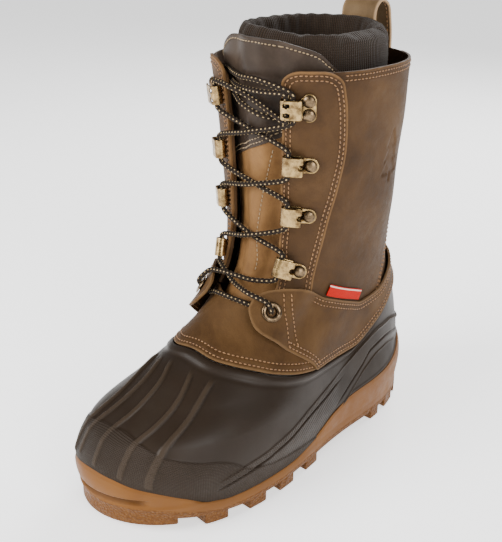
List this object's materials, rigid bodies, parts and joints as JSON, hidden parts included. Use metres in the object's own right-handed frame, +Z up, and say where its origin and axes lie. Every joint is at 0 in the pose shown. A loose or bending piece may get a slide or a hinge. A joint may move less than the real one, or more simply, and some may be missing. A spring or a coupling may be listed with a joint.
{
  "type": "insulated hunting boot",
  "caption": "Calf-high insulated boot: rubber-shelled foot on a gum outsole, laced leather shaft with brass hooks and cleats, knit liner with a padded cuff, and a rear pull loop.",
  "frame": {"origin": "middle of the bounding box on the ground plane the lugs stand on", "axes": "+Z up the shaft, toe towards -Y, heel towards +Y, outer (lateral) side of this left boot towards +X"},
  "size_m": [0.1272, 0.3188, 0.3242],
  "materials": {
    "gum_rubber": "gum rubber, satin",
    "shell_rubber": "moulded rubber, satin",
    "leather": "oiled nubuck, waxed",
    "smooth_leather": "smooth grain leather",
    "knit": "ribbed knit",
    "felt": "needled insulation felt",
    "board": "pressed fibre board",
    "steel": "mill finish",
    "brass": "worn antique brass",
    "lace": "braided, flecked",
    "label": "woven tape"
  },
  "bodies": {
    "boot": {"outsole": "gum_rubber", "rubber_shell": "shell_rubber", "steel_shank": "steel", "lasting_board": "board", "insulation_bootie": "felt", "lining_bootie": "knit", "footbed": "felt", "vamp": "leather", "heel_panel": "leather", "back_stay": "leather", "quarter_lateral": "leather", "facing_lateral": "leather", "ankle_strap_lateral": "leather", "eyelet_lateral": "brass", "eyelet_washer_lateral": "brass", "quarter_medial": "leather", "facing_medial": "leather", "ankle_strap_medial": "leather", "eyelet_medial": "brass", "eyelet_washer_medial": "brass", "tongue_lower": "leather", "tongue_upper": "smooth_leather", "gusset_lateral": "smooth_leather", "gusset_medial": "smooth_leather", "top_hook_lateral": "brass", "hook_rivet_lateral_1": "brass", "hook_rivet_lateral_2": "brass", "cleat_lateral_1": "brass", "cleat_rivet_lateral_1": "brass", "cleat_lateral_2": "brass", "cleat_rivet_lateral_2": "brass", "cleat_lateral_3": "brass", "cleat_rivet_lateral_3": "brass", "top_hook_medial": "brass", "hook_rivet_medial_1": "brass", "hook_rivet_medial_2": "brass", "cleat_medial_1": "brass", "cleat_rivet_medial_1": "brass", "cleat_medial_2": "brass", "cleat_rivet_medial_2": "brass", "cleat_medial_3": "brass", "cleat_rivet_medial_3": "brass", "padded_cuff": "knit", "loop_tail_inner": "leather", "loop_tail_outer": "leather", "lace": "lace"},
    "pull_loop": {"pull_loop": "leather"},
    "side_label": {"side_label": "label"}
  },
  "joints": [
    {"name": "pull_loop_fold", "type": "hinge", "parent": "boot", "child": "pull_loop", "pos_m": [0.00198, 0.12266, 0.2924], "axis": [1, 0, 0], "range_deg": [-90, 0]},
    {"name": "label_lift", "type": "hinge", "parent": "boot", "child": "side_label", "pos_m": [0.04935, 0.03481, 0.12215], "axis": [0.0346, 0.9259, -0.3761], "range_deg": [0, 70], "stiffness_Nm_per_rad": 0.0002}
  ]
}
